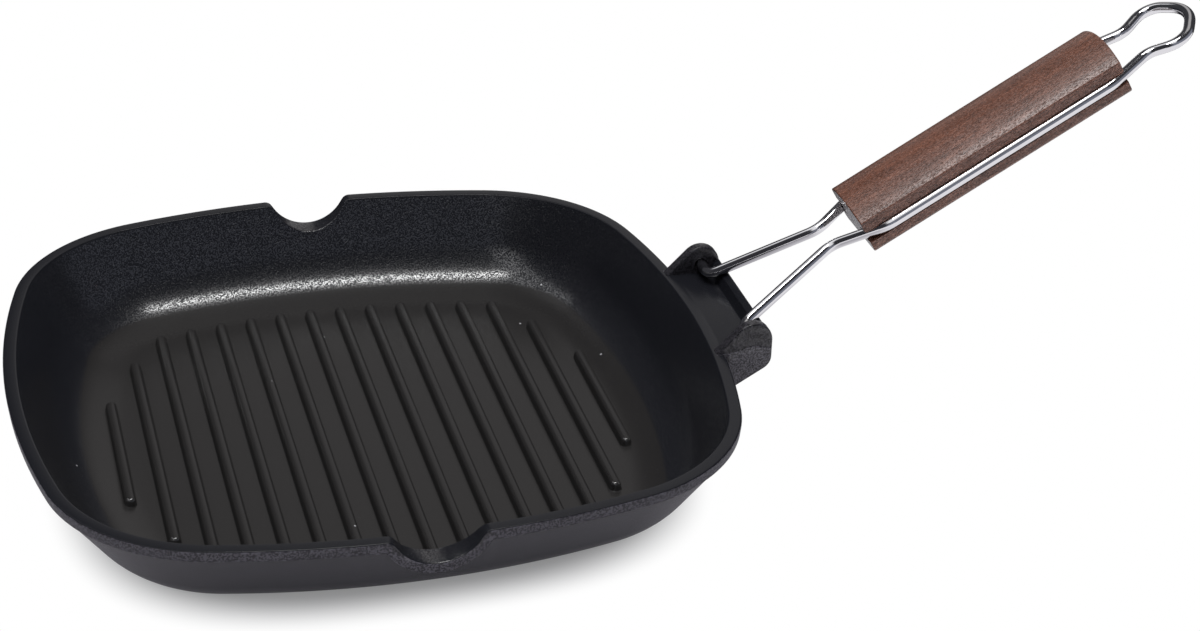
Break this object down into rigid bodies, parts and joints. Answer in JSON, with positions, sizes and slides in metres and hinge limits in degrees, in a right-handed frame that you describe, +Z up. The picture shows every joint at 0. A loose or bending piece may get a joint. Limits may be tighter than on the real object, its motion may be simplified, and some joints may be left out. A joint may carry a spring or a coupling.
{
  "type": "grill pan",
  "caption": "Shallow square cast grill pan with a ribbed floor, pour spouts on two sides and a wooden-gripped wire handle that folds over the pan.",
  "frame": {"origin": "centre of the flat base face, on the surface the pan stands on", "axes": "+Z up, +X towards the handle, the ribs run along Y and the two pour spouts face +Y and -Y"},
  "size_m": [0.4835, 0.279, 0.1574],
  "materials": {
    "coated_casting": "dark non-stick coating over cast aluminium, speckled on the rim band",
    "chromed_wire": "bright",
    "grip_wood": "oiled dark hardwood, grain along the handle"
  },
  "bodies": {
    "pan": {"pan_body": "coated_casting"},
    "handle": {"handle_wire": "chromed_wire", "handle_grip": "grip_wood"}
  },
  "joints": [
    {"name": "handle_fold", "type": "hinge", "parent": "pan", "child": "handle", "pos_m": [0.1496, 0, 0.0444], "axis": [0, -1, 0], "range_deg": [0, 155]}
  ]
}
